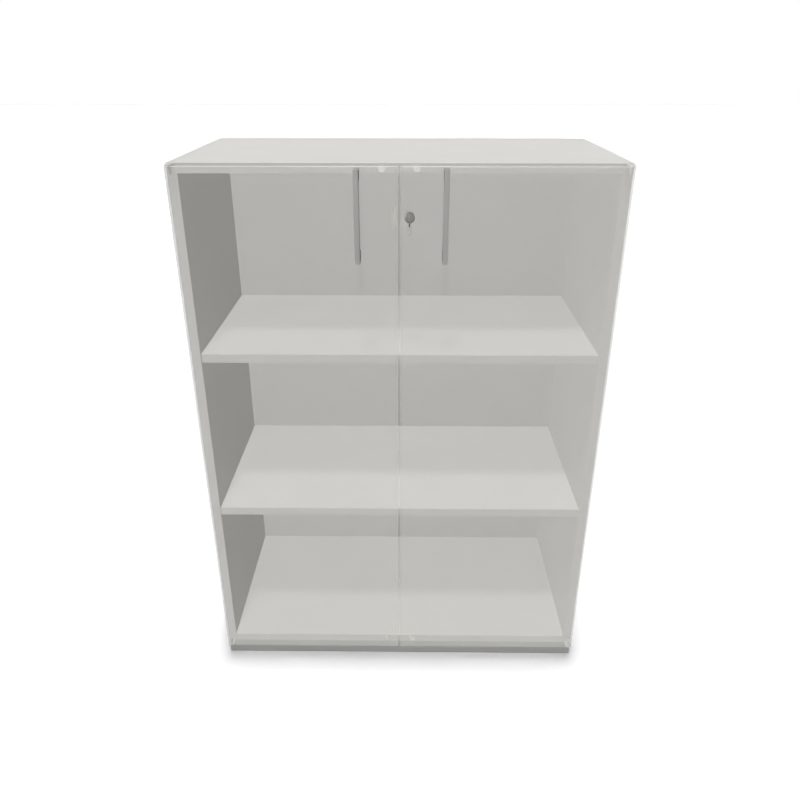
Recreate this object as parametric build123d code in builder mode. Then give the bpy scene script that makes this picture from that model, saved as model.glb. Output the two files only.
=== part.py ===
from math import sqrt
import os

from build123d import *

# A free-standing cupboard, three file rows high, with two see-through doors on pivot hinges.
# Millimetres. X runs across the front from left to right, Y from the front to the back and Z up.
# The origin is on the floor, under the middle of the whole cupboard with its handles and key.

os.makedirs("parts", exist_ok=True)

# Carcass
cabinet_width = 800
cabinet_height = 1111
carcass_depth = 400
board = 18
shelf_board = 18
clear_height = 334
edging = 2
edging_round = 0.5
edging_joint = 0.1

# Back panel, held in a groove that runs round the carcass
back_panel_sheet = 8
back_recess = 12
groove_depth = 8
groove_play = 0.1
panel_edge_play = 0.5

# Shelves on pins
shelf_side_play = 1
shelf_setback = 1
shelf_back_play = 1
shelf_pin_radius = 2.5
shelf_pin_grip = 9
shelf_pin_nose = 8
shelf_pin_collar_radius = 4
shelf_pin_flat = 0.6
shelf_pin_inset = 40

# Dowels between the boards
dowel_radius = 4
dowel_length = 35
dowel_in_face = 12
dowel_inset = 50
dowel_chamfer = 1
dowel_end_play = 0.5

# Plinth
plinth_height = 36
plinth_board = 18
plinth_round = 1
corner_block_size = 40
corner_block_height = 30
corner_block_chamfer = 18
plinth_screw_inset = 16

# Doors
door_thickness = 18
door_gap = 2
door_side_reveal = 2
door_centre_gap = 4
door_edge_round = 0.8

# Pivot hinges at the outer corners of the doors
pivot_back_inset = 10
swing_clearance = 0.6
bracket_sheet = 1.5
bracket_half_width = 6
bracket_length = 58
bracket_corner = 3
bracket_bend = 1.2
bracket_top_land = 1.5
bracket_play = 0.1
bracket_screw_inset = 9
bracket_screw_spacing = 36
hinge_gap = 0.5
thrust_clearance = 0.1
pivot_pin_radius = 2
pivot_pin_reach = 12
pivot_pin_chamfer = 0.6
bush_radius = 3.5
bush_length = 14
bush_flange_radius = 4.7

# Magnetic catches in the front edges of the top and bottom boards
catch_inset = 30
sleeve_radius = 5
sleeve_length = 11
sleeve_collar_radius = 6
sleeve_collar_round = 0.5
catch_air = 0.3
magnet_radius = 3
magnet_length = 9
magnet_sunk = 0.2
catch_plate_radius = 6
catch_plate_sheet = 1

# Handles
handle_width = 9
handle_bar = 8
handle_reach = 25
handle_length = 159
handle_post = 20
handle_drop = 2
handle_inner_round = 7
handle_outer_round = 2
handle_edge_round = 0.8
left_handle_inset = 70.5
right_handle_inset = 78

# Lock in the right door
lock_inset = 16
lock_drop = 85.5
rosette_radius = 8.85
rosette_height = 3.8
rosette_face_radius = 6.8
rosette_rim = 0.8
barrel_radius = 7
barrel_stand = 0.5
ring_nut_thickness = 3
ring_nut_radius = 8.8
ring_nut_slot = 2
ring_nut_slot_depth = 0.9
plug_radius = 5
plug_head_radius = 5.7
plug_head = 1.5
plug_sunk = 0.5
cam_air = 0.3
cam_sheet = 2
cam_width = 10
cam_hub_radius = 7
cam_square = 6
cam_tip = 3.5
cam_screw_radius = 1.5
cam_screw_head_radius = 3.3
cam_screw_head = 1.8
cam_screw_grip = 5
cam_screw_slot = 0.8
keyway_floor = 2

# Key
key_sheet = 2.5
key_blade_height = 7
key_play = 0.1
key_end_play = 0.5
key_reach = 29
key_bow_radius = 12
key_bow_round = 0.6
key_hole_radius = 3.5
key_hole_offset = 5.5
key_neck_height = 9.5
key_cut_pitch = 3.2
key_cut_depths = (1.1, 1.9, 0.8, 1.5)

# Strike on the left door, which the lock's cam hooks on to
strike_inset = 11
strike_sheet = 1.5
strike_width = 16
strike_height = 34
strike_corner = 3
strike_screw_spacing = 24
stud_radius = 2
stud_head_radius = 3.4
stud_head = 1.2
stud_air = 0.5
notch_play = 0.3
notch_sweep = 20

# Countersunk screws: radius of the shank, radius of the head, and length
board_screw = (1.6, 3.1, 28)
plinth_screw = (2, 4, 38)
handle_screw = (2, 3.8, 28)
strike_screw = (1.2, 2.4, 10)
screw_end_play = 0.5
cross_width = 0.3
cross_depth = 0.5

# Radial clearances: between pieces of one body, and between a shaft and its hole that turn
fixed_play = 0.03
running_play = 0.05

# Places worked out from the sizes above
LEFT = -1
RIGHT = 1
TOP = 1
BOTTOM = -1
TO_FRONT = (0, -1, 0)
TO_BACK = (0, 1, 0)
UP = (0, 0, 1)
DOWN = (0, 0, -1)

half_width = cabinet_width / 2
inner_half = half_width - board
front_reach = door_gap + door_thickness + max(handle_reach, key_reach)
front = (front_reach - carcass_depth) / 2
back = front + carcass_depth
depth_middle = (front + back) / 2
bottom_top = plinth_height + board
top_underside = cabinet_height - board
lower_shelf_underside = bottom_top + clear_height
upper_shelf_underside = lower_shelf_underside + shelf_board + clear_height
panel_back = back - back_recess
panel_front = panel_back - back_panel_sheet
panel_middle = (panel_front + panel_back) / 2
groove_width = back_panel_sheet + 2 * groove_play

door_back = front - door_gap
door_front = door_back - door_thickness
door_bottom = plinth_height + bracket_sheet + hinge_gap
door_top = cabinet_height - bracket_top_land - bracket_sheet - hinge_gap
door_outer = half_width - door_side_reveal
door_inner = door_centre_gap / 2
door_end = {TOP: door_top, BOTTOM: door_bottom}
bracket_edge = {end: door_end[end] + end * (hinge_gap + bracket_sheet) for end in (TOP, BOTTOM)}

# As a door turns, its back corner passes the carcass front at the swing clearance.
pivot_side_inset = sqrt((pivot_back_inset + door_gap - swing_clearance) ** 2 - pivot_back_inset**2)
pivot_x = door_outer - pivot_side_inset
pivot_y = door_back - pivot_back_inset

catch_heights = (top_underside + board / 2, plinth_height + board / 2)
collar_stand = door_gap - catch_air

handle_top = door_top - handle_drop
handle_middle = handle_top - handle_length / 2
handle_x = {LEFT: -(door_inner + left_handle_inset), RIGHT: door_inner + right_handle_inset}
handle_screw_heights = (
    handle_top - handle_post / 2,
    handle_top - handle_length + handle_post / 2,
)

lock_x = door_inner + lock_inset
lock_z = door_top - lock_drop
lock_axis = Axis((lock_x, 0, lock_z), TO_BACK)
plug_face = door_front - rosette_height + plug_sunk
plug_shoulder = plug_face + plug_head
nut_back = door_back + ring_nut_thickness
barrel_end = nut_back + barrel_stand
cam_front = barrel_end + cam_air
cam_back = cam_front + cam_sheet
cam_screw_end = cam_front - cam_screw_grip
keyway_end = cam_screw_end - keyway_floor
stud_x = -(door_inner + strike_inset)
stud_distance = lock_x - stud_x


def facing(x, y, z, direction):
    """Plane at a point, with its Z along the direction."""
    return Plane(origin=(x, y, z), z_dir=direction)


def block(low, high):
    """Block between two opposite corners."""
    with BuildPart() as made:
        with Locations(tuple((a + b) / 2 for a, b in zip(low, high))):
            Box(*(b - a for a, b in zip(low, high)))
    return made.part


def strip(low, high, axis, side):
    """Edging strip between two corners. Its outer face is first (0) or last (-1) along the axis,
    and the two long edges of that face are rounded."""
    with BuildPart() as made:
        add(block(low, high))
        outer_face = made.faces().sort_by(axis)[side]
        long_edges = outer_face.edges().sort_by(SortBy.LENGTH)[-2:]
        fillet(long_edges, radius=min(edging_round, 0.8 * edging))
    return made.part


def turned(outline, axis):
    """Solid of revolution of an outline of points, each a radius and a place along the axis."""
    section = Plane(origin=axis.position, x_dir=(1, 0, 0), z_dir=UP)
    if axis.direction.Z:
        section = Plane(origin=axis.position, x_dir=(1, 0, 0), z_dir=TO_FRONT)
    with BuildPart() as made:
        with BuildSketch(section):
            with BuildLine():
                Polyline(*outline, close=True)
            make_face()
        revolve(axis=axis)
    return made.part


def screw_blank(shank, head, length, rise):
    """Countersunk screw along -Z, with the edge of its head at Z = 0 and its head raised."""
    raised_head = ((0, rise), (head, rise)) if rise else ((0, 0),)
    outline = (
        *raised_head,
        (head, 0),
        (shank, shank - head),
        (shank, shank - length),
        (0, -length),
    )
    return turned(outline, Axis.Z)


def screw(size):
    """Countersunk screw with a cross recess in its head."""
    shank, head, length = size
    with BuildPart() as made:
        add(screw_blank(shank, head, length, rise=0))
        for span, width in ((1.2 * head, cross_width * head), (cross_width * head, 1.2 * head)):
            Box(span, width, 2 * cross_depth, mode=Mode.SUBTRACT)
    return made.part


def screw_hole(size):
    """Space that a countersunk screw needs, open above its head."""
    shank, head, length = size
    return screw_blank(
        shank + fixed_play, head + fixed_play, length + screw_end_play, rise=head
    )


def placed(shape, planes):
    """Copies of a shape, one on each plane."""
    with BuildPart() as made:
        with Locations(*planes):
            add(shape)
    return made.part


# Planes on which the fasteners and fittings stand

dowel_planes = []
for side in (LEFT, RIGHT):
    for y in (front + dowel_inset, depth_middle, back - dowel_inset):
        dowel_planes.append(facing(side * (half_width - board / 2), y, top_underside, UP))
        dowel_planes.append(
            facing(side * inner_half, y, plinth_height + board / 2, (side, 0, 0))
        )

shelf_pin_planes = []
for side in (LEFT, RIGHT):
    for y in (front + shelf_pin_inset, panel_front - shelf_pin_inset):
        for underside in (lower_shelf_underside, upper_shelf_underside):
            pin_z = underside - shelf_pin_radius + shelf_pin_flat
            shelf_pin_planes.append(
                Plane(origin=(side * inner_half, y, pin_z), x_dir=UP, z_dir=(side, 0, 0))
            )

bracket_screw_planes = []
for side in (LEFT, RIGHT):
    for end in (TOP, BOTTOM):
        for inset in (bracket_screw_inset, bracket_screw_inset + bracket_screw_spacing):
            bracket_screw_planes.append(
                facing(side * pivot_x, front, bracket_edge[end] - end * inset, TO_FRONT)
            )

catch_planes = [
    facing(side * catch_inset, front, z, TO_FRONT) for side in (LEFT, RIGHT) for z in catch_heights
]


def handle_screw_planes(side):
    """Planes of a handle's screw heads in the back of its door."""
    return [facing(handle_x[side], door_back, z, TO_BACK) for z in handle_screw_heights]


def catch_plate_planes(side):
    """Planes of a door's catch plates, flush with its back."""
    return [facing(side * catch_inset, door_back, z, TO_BACK) for z in catch_heights]


plinth_screw_planes = []
for side in (LEFT, RIGHT):
    for y in (front + plinth_board + plinth_screw_inset, back - plinth_board - plinth_screw_inset):
        x = side * (half_width - plinth_board - plinth_screw_inset)
        plinth_screw_planes.append(facing(x, y, plinth_height - corner_block_height, DOWN))

strike_screw_planes = [
    facing(stud_x, door_back + strike_sheet, lock_z + end * strike_screw_spacing / 2, TO_BACK)
    for end in (TOP, BOTTOM)
]


# Fittings that are repeated, and the spaces that they need

def dowels(radius, end_play):
    """All dowels of the carcass, each standing in the face of one board and the edge of the other."""
    with BuildPart() as made:
        with Locations(*(plane.offset(dowel_in_face + end_play) for plane in dowel_planes)):
            Cylinder(
                radius,
                dowel_length + 2 * end_play,
                align=(Align.CENTER, Align.CENTER, Align.MAX),
            )
    return made.part


def shelf_pin():
    """Pin whose stem stands in the side panel, with a flat for the shelf on top of its nose."""
    collar = shelf_side_play / 2
    nose_end = -collar - shelf_pin_nose
    outline = (
        (0, shelf_pin_grip),
        (shelf_pin_radius, shelf_pin_grip),
        (shelf_pin_radius, 0),
        (shelf_pin_collar_radius, 0),
        (shelf_pin_collar_radius, -collar),
        (shelf_pin_radius, -collar),
        (shelf_pin_radius, nose_end + shelf_pin_radius / 2),
        (shelf_pin_radius / 2, nose_end),
        (0, nose_end),
    )
    flat = shelf_pin_radius - shelf_pin_flat
    with BuildPart() as made:
        add(turned(outline, Axis.Z))
        with Locations((flat + shelf_pin_radius, 0, -collar - shelf_pin_nose)):
            Box(
                2 * shelf_pin_radius,
                2 * shelf_pin_radius,
                2 * shelf_pin_nose,
                mode=Mode.SUBTRACT,
            )
    return made.part


def shelf_pin_holes():
    """Holes for the shelf pins in the inner faces of the side panels."""
    with BuildPart() as made:
        with Locations(*shelf_pin_planes):
            Cylinder(
                shelf_pin_radius + fixed_play,
                shelf_pin_grip + screw_end_play,
                align=(Align.CENTER, Align.CENTER, Align.MIN),
            )
    return made.part


def bracket_recesses():
    """Recesses in the carcass front that the bracket flanges are let into."""
    with BuildPart() as made:
        for side in (LEFT, RIGHT):
            for end in (TOP, BOTTOM):
                near = bracket_edge[end] + end * bracket_play
                far = bracket_edge[end] - end * (bracket_length + bracket_play)
                half = bracket_half_width + bracket_play
                add(
                    block(
                        (side * pivot_x - half, front - bracket_sheet, min(near, far)),
                        (side * pivot_x + half, front + bracket_sheet, max(near, far)),
                    )
                )
    return made.part


def catch_sleeve(play=0):
    """Sleeve that is pressed into a board's edge; with play, only the hole that it needs."""
    with BuildPart() as made:
        Cylinder(
            sleeve_radius + play,
            sleeve_length + play,
            align=(Align.CENTER, Align.CENTER, Align.MAX),
        )
        if play == 0:
            Cylinder(
                sleeve_collar_radius,
                collar_stand,
                align=(Align.CENTER, Align.CENTER, Align.MIN),
            )
            rim = made.edges().filter_by(GeomType.CIRCLE).sort_by(Axis.Z)[-1]
            fillet(rim, radius=min(sleeve_collar_round, 0.8 * collar_stand))
            with Locations((0, 0, collar_stand)):
                Cylinder(
                    magnet_radius + fixed_play,
                    magnet_length + magnet_sunk,
                    align=(Align.CENTER, Align.CENTER, Align.MAX),
                    mode=Mode.SUBTRACT,
                )
    return made.part


carcass_front_cuts = [
    bracket_recesses(),
    placed(screw_hole(board_screw), bracket_screw_planes),
    placed(catch_sleeve(play=fixed_play), catch_planes),
]
dowel_holes = dowels(dowel_radius + fixed_play, dowel_end_play)
plinth_screw_holes = placed(screw_hole(plinth_screw), plinth_screw_planes)


# Carcass boards

def side_panel(side):
    """Side panel, with the back panel's groove along its inner face."""
    with BuildPart() as made:
        with BuildSketch(Plane.XY.offset(plinth_height)):
            with Locations((side * (half_width - board / 2), depth_middle)):
                Rectangle(board, carcass_depth - 2 * edging)
            with Locations((side * inner_half, panel_middle)):
                Rectangle(2 * groove_depth, groove_width, mode=Mode.SUBTRACT)
        extrude(amount=top_underside - plinth_height)
        add([dowel_holes, shelf_pin_holes()], mode=Mode.SUBTRACT)
        add(carcass_front_cuts, mode=Mode.SUBTRACT)
    return made.part


with BuildPart() as left_side_panel:
    add(side_panel(LEFT))

with BuildPart() as right_side_panel:
    add(side_panel(RIGHT))

with BuildPart() as top_board:
    with BuildSketch(Plane.XY.offset(top_underside)):
        with Locations((0, depth_middle)):
            Rectangle(cabinet_width - 2 * edging, carcass_depth - 2 * edging)
    extrude(amount=board)
    with Locations((0, panel_middle, top_underside)):
        Box(2 * (inner_half + groove_depth), groove_width, 2 * groove_depth, mode=Mode.SUBTRACT)
    add(dowel_holes, mode=Mode.SUBTRACT)
    add(carcass_front_cuts, mode=Mode.SUBTRACT)

with BuildPart() as bottom_board:
    with BuildSketch(Plane.XY.offset(plinth_height)):
        with Locations((0, depth_middle)):
            Rectangle(2 * inner_half, carcass_depth - 2 * edging)
    extrude(amount=board)
    with Locations((0, panel_middle, bottom_top)):
        Box(2 * inner_half, groove_width, 2 * groove_depth, mode=Mode.SUBTRACT)
    add([dowel_holes, plinth_screw_holes], mode=Mode.SUBTRACT)
    add(carcass_front_cuts, mode=Mode.SUBTRACT)

with BuildPart() as back_panel:
    edge_reach = groove_depth - panel_edge_play
    with BuildSketch(Plane.XZ.offset(-panel_back)):
        with Locations((0, (bottom_top + top_underside) / 2)):
            Rectangle(
                2 * (inner_half + edge_reach),
                top_underside - bottom_top + 2 * edge_reach,
            )
    extrude(amount=back_panel_sheet)


def shelf(underside):
    """Loose shelf between the side panels, without its edging."""
    with BuildPart() as made:
        add(
            block(
                (-inner_half + shelf_side_play, front + shelf_setback + edging, underside),
                (inner_half - shelf_side_play, panel_front - shelf_back_play, underside + shelf_board),
            )
        )
    return made.part


with BuildPart() as lower_shelf:
    add(shelf(lower_shelf_underside))

with BuildPart() as upper_shelf:
    add(shelf(upper_shelf_underside))


# Edging on the boards

with BuildPart() as side_panel_edging:
    for side in (LEFT, RIGHT):
        inner, outer = sorted((side * inner_half, side * half_width))
        add(
            strip(
                (inner, front, plinth_height),
                (outer, front + edging, top_underside),
                Axis.Y,
                0,
            )
        )
        add(
            strip(
                (inner, back - edging, plinth_height),
                (outer, back, top_underside),
                Axis.Y,
                -1,
            )
        )
    add(carcass_front_cuts, mode=Mode.SUBTRACT)

with BuildPart() as top_board_edging:
    for low_y, face in ((front, 0), (back - edging, -1)):
        add(
            strip(
                (-half_width, low_y, top_underside),
                (half_width, low_y + edging, cabinet_height),
                Axis.Y,
                face,
            )
        )
    for low_x, face in ((-half_width, 0), (half_width - edging, -1)):
        add(
            strip(
                (low_x, front + edging + edging_joint, top_underside),
                (low_x + edging, back - edging - edging_joint, cabinet_height),
                Axis.X,
                face,
            )
        )
    add(carcass_front_cuts, mode=Mode.SUBTRACT)

with BuildPart() as bottom_board_edging:
    for low_y, face in ((front, 0), (back - edging, -1)):
        add(
            strip(
                (-inner_half, low_y, plinth_height),
                (inner_half, low_y + edging, bottom_top),
                Axis.Y,
                face,
            )
        )
    add(carcass_front_cuts, mode=Mode.SUBTRACT)

with BuildPart() as shelf_edging:
    for underside in (lower_shelf_underside, upper_shelf_underside):
        add(
            strip(
                (-inner_half + shelf_side_play, front + shelf_setback, underside),
                (
                    inner_half - shelf_side_play,
                    front + shelf_setback + edging,
                    underside + shelf_board,
                ),
                Axis.Y,
                0,
            )
        )


# Carcass joints and shelf supports

with BuildPart() as carcass_dowels:
    add(dowels(dowel_radius, 0))
    chamfer(carcass_dowels.edges().filter_by(GeomType.CIRCLE), length=dowel_chamfer)

with BuildPart() as shelf_pins:
    add(placed(shelf_pin(), shelf_pin_planes))


# Plinth

def plinth_rail(y):
    """Plinth rail across the full width, with its front or back face at y."""
    inward = plinth_board if y == front else -plinth_board
    with BuildPart() as made:
        add(
            block(
                (-half_width, min(y, y + inward), 0),
                (half_width, max(y, y + inward), plinth_height),
            )
        )
        ends = made.edges().filter_by(Axis.Z).filter_by_position(Axis.Y, y, y)
        fillet(ends, radius=plinth_round)
    return made.part


with BuildPart() as plinth_front_rail:
    add(plinth_rail(front))

with BuildPart() as plinth_back_rail:
    add(plinth_rail(back))

with BuildPart() as plinth_side_rails:
    for side in (LEFT, RIGHT):
        with Locations((side * (half_width - plinth_board / 2), depth_middle, plinth_height / 2)):
            Box(plinth_board, carcass_depth - 2 * plinth_board, plinth_height)

with BuildPart() as plinth_corner_blocks:
    with BuildSketch(Plane.XY.offset(plinth_height - corner_block_height)):
        for side in (LEFT, RIGHT):
            for y, inward in ((front + plinth_board, 1), (back - plinth_board, -1)):
                corner_x = side * (half_width - plinth_board)
                far_x = corner_x - side * corner_block_size
                far_y = y + inward * corner_block_size
                with BuildLine():
                    Polyline(
                        (corner_x, y),
                        (far_x, y),
                        (far_x, far_y - inward * corner_block_chamfer),
                        (far_x + side * corner_block_chamfer, far_y),
                        (corner_x, far_y),
                        close=True,
                    )
                make_face()
    extrude(amount=corner_block_height)
    add(plinth_screw_holes, mode=Mode.SUBTRACT)

with BuildPart() as plinth_screws:
    add(placed(screw(plinth_screw), plinth_screw_planes))


# Pivot hinges

def pivot_bracket(side, end):
    """Angle bracket let into the carcass front. Its tongue reaches past the end of the door."""
    x = side * pivot_x
    tongue_outer = bracket_edge[end]
    tongue_inner = tongue_outer - end * bracket_sheet
    flange_end = tongue_outer - end * bracket_length
    with BuildPart() as made:
        with BuildSketch(Plane.YZ.offset(x - bracket_half_width)) as profile:
            with BuildLine():
                Polyline(
                    (pivot_y - bracket_half_width, tongue_outer),
                    (front + bracket_sheet, tongue_outer),
                    (front + bracket_sheet, flange_end),
                    (front, flange_end),
                    (front, tongue_inner),
                    (pivot_y - bracket_half_width, tongue_inner),
                    close=True,
                )
            make_face()
            bend = profile.vertices().group_by(Axis.X)[-1].sort_by(Axis.Y)
            fillet(bend[-1 if end == TOP else 0], radius=min(bracket_bend, 0.9 * bracket_sheet))
        extrude(amount=2 * bracket_half_width)
        tongue_corners = made.edges().filter_by(Axis.Z).group_by(Axis.Y)[0]
        fillet(tongue_corners, radius=0.9 * bracket_half_width)
        flange_corners = made.edges().filter_by(Axis.Y).group_by(Axis.Z)[0 if end == TOP else -1]
        fillet(flange_corners, radius=bracket_corner)
        with Locations((x, pivot_y, tongue_outer)):
            Cylinder(pivot_pin_radius + fixed_play, 4 * bracket_sheet, mode=Mode.SUBTRACT)
        add(placed(screw_hole(board_screw), bracket_screw_planes), mode=Mode.SUBTRACT)
    return made.part


with BuildPart() as top_pivot_brackets:
    for side in (LEFT, RIGHT):
        add(pivot_bracket(side, TOP))

with BuildPart() as bottom_pivot_brackets:
    for side in (LEFT, RIGHT):
        add(pivot_bracket(side, BOTTOM))

with BuildPart() as bracket_screws:
    add(placed(screw(board_screw), bracket_screw_planes))

with BuildPart() as pivot_pins:
    for side in (LEFT, RIGHT):
        for end in (TOP, BOTTOM):
            pin_end = door_end[end] - end * pivot_pin_reach
            with Locations((side * pivot_x, pivot_y, (bracket_edge[end] + pin_end) / 2)):
                Cylinder(pivot_pin_radius, abs(bracket_edge[end] - pin_end))
    chamfer(pivot_pins.edges().filter_by(GeomType.CIRCLE), length=pivot_pin_chamfer)


def bush_planes(side):
    """Planes at the ends of a door on its pivot axis, each facing out of the door."""
    return [
        facing(side * pivot_x, pivot_y, door_top, UP),
        facing(side * pivot_x, pivot_y, door_bottom, DOWN),
    ]


def door_bushes(side):
    """Flanged bushes in the top and bottom of a door, which turn on the pivot pins."""
    bore = pivot_pin_radius + running_play
    flange = hinge_gap - thrust_clearance
    outline = (
        (bore, flange),
        (bush_flange_radius, flange),
        (bush_flange_radius, 0),
        (bush_radius, 0),
        (bush_radius, -bush_length),
        (bore, -bush_length),
    )
    return placed(turned(outline, Axis.Z), bush_planes(side))


# Magnetic catches

with BuildPart() as catch_sleeves:
    add(placed(catch_sleeve(), catch_planes))

with BuildPart() as catch_magnets:
    with Locations(*(plane.offset(collar_stand - magnet_sunk) for plane in catch_planes)):
        Cylinder(magnet_radius, magnet_length, align=(Align.CENTER, Align.CENTER, Align.MAX))


def catch_plates(side, play=0):
    """Round steel plates let into the back of a door; with play, the pockets they lie in."""
    with BuildPart() as made:
        with Locations(*catch_plate_planes(side)):
            Cylinder(
                catch_plate_radius + play,
                catch_plate_sheet,
                align=(Align.CENTER, Align.CENTER, Align.MAX),
            )
    return made.part


# Doors

def door_panel(side):
    """Door sheet with its bush bores, catch pockets and handle screw holes."""
    with BuildPart() as made:
        with BuildSketch(Plane.XZ.offset(-door_back)):
            with Locations((side * (door_inner + door_outer) / 2, (door_bottom + door_top) / 2)):
                Rectangle(door_outer - door_inner, door_top - door_bottom)
        extrude(amount=door_thickness)
        fillet(made.edges(), radius=door_edge_round)
        with Locations(*bush_planes(side)):
            Hole(bush_radius + fixed_play, bush_length + screw_end_play)
        add(catch_plates(side, play=fixed_play), mode=Mode.SUBTRACT)
        add(placed(screw_hole(handle_screw), handle_screw_planes(side)), mode=Mode.SUBTRACT)
    return made.part


with BuildPart() as left_door:
    add(door_panel(LEFT))
    add(placed(screw_hole(strike_screw), strike_screw_planes), mode=Mode.SUBTRACT)

with BuildPart() as right_door:
    add(door_panel(RIGHT))
    with Locations(facing(lock_x, door_front, lock_z, TO_FRONT)):
        Hole(barrel_radius + fixed_play, door_thickness)

with BuildPart() as left_door_bushes:
    add(door_bushes(LEFT))

with BuildPart() as right_door_bushes:
    add(door_bushes(RIGHT))

with BuildPart() as left_catch_plates:
    add(catch_plates(LEFT))

with BuildPart() as right_catch_plates:
    add(catch_plates(RIGHT))


# Handles

def bow_handle(side):
    """Bow handle cut from one bar: a flat grip with a post at each end, rounded where they meet."""
    gap = handle_reach - handle_bar
    with BuildPart() as made:
        with BuildSketch(Plane.YZ.offset(handle_x[side] - handle_width / 2)) as profile:
            with Locations((door_front - handle_reach / 2, handle_middle)):
                Rectangle(handle_reach, handle_length)
            with Locations((door_front - gap / 2, handle_middle)):
                Rectangle(gap, handle_length - 2 * handle_post, mode=Mode.SUBTRACT)
            grip_corners, inner_corners = profile.vertices().group_by(Axis.X)[:2]
            fillet(inner_corners, radius=min(handle_inner_round, 0.9 * gap))
            fillet(grip_corners, radius=min(handle_outer_round, 0.9 * handle_bar))
        extrude(amount=handle_width)
        foot = door_front - handle_edge_round / 2
        rims = [
            edge
            for face in made.faces().filter_by(Axis.X)
            for edge in face.edges()
            if edge.center().Y < foot
        ]
        fillet(rims, radius=handle_edge_round)
        add(placed(screw_hole(handle_screw), handle_screw_planes(side)), mode=Mode.SUBTRACT)
    return made.part


with BuildPart() as left_handle:
    add(bow_handle(LEFT))

with BuildPart() as right_handle:
    add(bow_handle(RIGHT))

with BuildPart() as left_handle_screws:
    add(placed(screw(handle_screw), handle_screw_planes(LEFT)))

with BuildPart() as right_handle_screws:
    add(placed(screw(handle_screw), handle_screw_planes(RIGHT)))


# Lock in the right door

with BuildPart() as lock_housing:
    bore = plug_radius + running_play
    head_bore = plug_head_radius + running_play
    rosette_face = door_front - rosette_height
    rim_y = door_front - rosette_rim
    lock_section = Plane(origin=(lock_x, 0, lock_z), x_dir=(1, 0, 0), z_dir=UP)
    with BuildSketch(lock_section):
        with BuildLine():
            Polyline(
                (rosette_radius, rim_y),
                (rosette_radius, door_front),
                (barrel_radius, door_front),
                (barrel_radius, barrel_end),
                (bore, barrel_end),
                (bore, plug_shoulder + thrust_clearance),
                (head_bore, plug_shoulder + thrust_clearance),
                (head_bore, rosette_face),
                (rosette_face_radius, rosette_face),
            )
            TangentArc(
                (rosette_radius, rim_y),
                (rosette_face_radius, rosette_face),
                tangent=(0, -1),
            )
        make_face()
    revolve(axis=lock_axis)

with BuildPart() as lock_ring_nut:
    with BuildSketch(Plane.XZ.offset(-nut_back)):
        with Locations((lock_x, lock_z)):
            Circle(ring_nut_radius)
            Circle(barrel_radius + fixed_play, mode=Mode.SUBTRACT)
            with PolarLocations(ring_nut_radius, 4):
                Rectangle(2 * ring_nut_slot_depth, ring_nut_slot, mode=Mode.SUBTRACT)
    extrude(amount=ring_nut_thickness)

with BuildPart() as lock_plug:
    add(
        turned(
            (
                (0, plug_face),
                (plug_head_radius, plug_face),
                (plug_head_radius, plug_shoulder),
                (plug_radius, plug_shoulder),
                (plug_radius, cam_front),
                (0, cam_front),
            ),
            lock_axis,
        )
    )
    with BuildSketch(Plane.XZ.offset(-cam_front)):
        with Locations((lock_x, lock_z)):
            Rectangle(cam_square, cam_square)
    extrude(amount=-(cam_sheet - thrust_clearance))
    with Locations((lock_x, (plug_face + keyway_end) / 2, lock_z)):
        Box(
            key_sheet + 2 * key_play,
            keyway_end - plug_face,
            key_blade_height + 2 * key_play,
            mode=Mode.SUBTRACT,
        )
    with Locations(facing(lock_x, cam_back, lock_z, TO_BACK)):
        Hole(cam_screw_radius + fixed_play, cam_back - cam_screw_end)

with BuildPart() as lock_cam:
    with BuildSketch(Plane.XZ.offset(-cam_back)):
        with Locations((lock_x, lock_z)):
            Circle(cam_hub_radius)
        arm_length = stud_distance + stud_radius + notch_play + cam_tip
        with Locations((lock_x, lock_z - arm_length / 2)):
            RectangleRounded(cam_width, arm_length, 0.45 * cam_width)
        with Locations((lock_x, lock_z - cam_width / 2)):
            Rectangle(cam_width, cam_width)
        with Locations((lock_x, lock_z)):
            Rectangle(
                cam_square + 2 * fixed_play,
                cam_square + 2 * fixed_play,
                mode=Mode.SUBTRACT,
            )
        # The notch follows the stud's path as the cam turns, so the hook slides round the stud.
        notch_half = stud_radius + notch_play
        with BuildLine():
            far_side, near_side = (
                CenterArc((lock_x, lock_z), radius, 270 - notch_sweep, notch_sweep)
                for radius in (stud_distance + notch_half, stud_distance - notch_half)
            )
            TangentArc(far_side @ 1, near_side @ 1, tangent=far_side % 1)
            Line(far_side @ 0, near_side @ 0)
        make_face(mode=Mode.SUBTRACT)
    extrude(amount=cam_sheet)

with BuildPart() as cam_screw:
    add(
        turned(
            (
                (0, cam_back + cam_screw_head),
                (cam_screw_head_radius, cam_back + cam_screw_head),
                (cam_screw_head_radius, cam_back),
                (cam_screw_radius, cam_back),
                (cam_screw_radius, cam_screw_end + screw_end_play),
                (0, cam_screw_end + screw_end_play),
            ),
            lock_axis,
        )
    )
    with Locations((lock_x, cam_back + cam_screw_head, lock_z)):
        Box(2.4 * cam_screw_head_radius, cam_screw_head, cam_screw_slot, mode=Mode.SUBTRACT)


# Key

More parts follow.
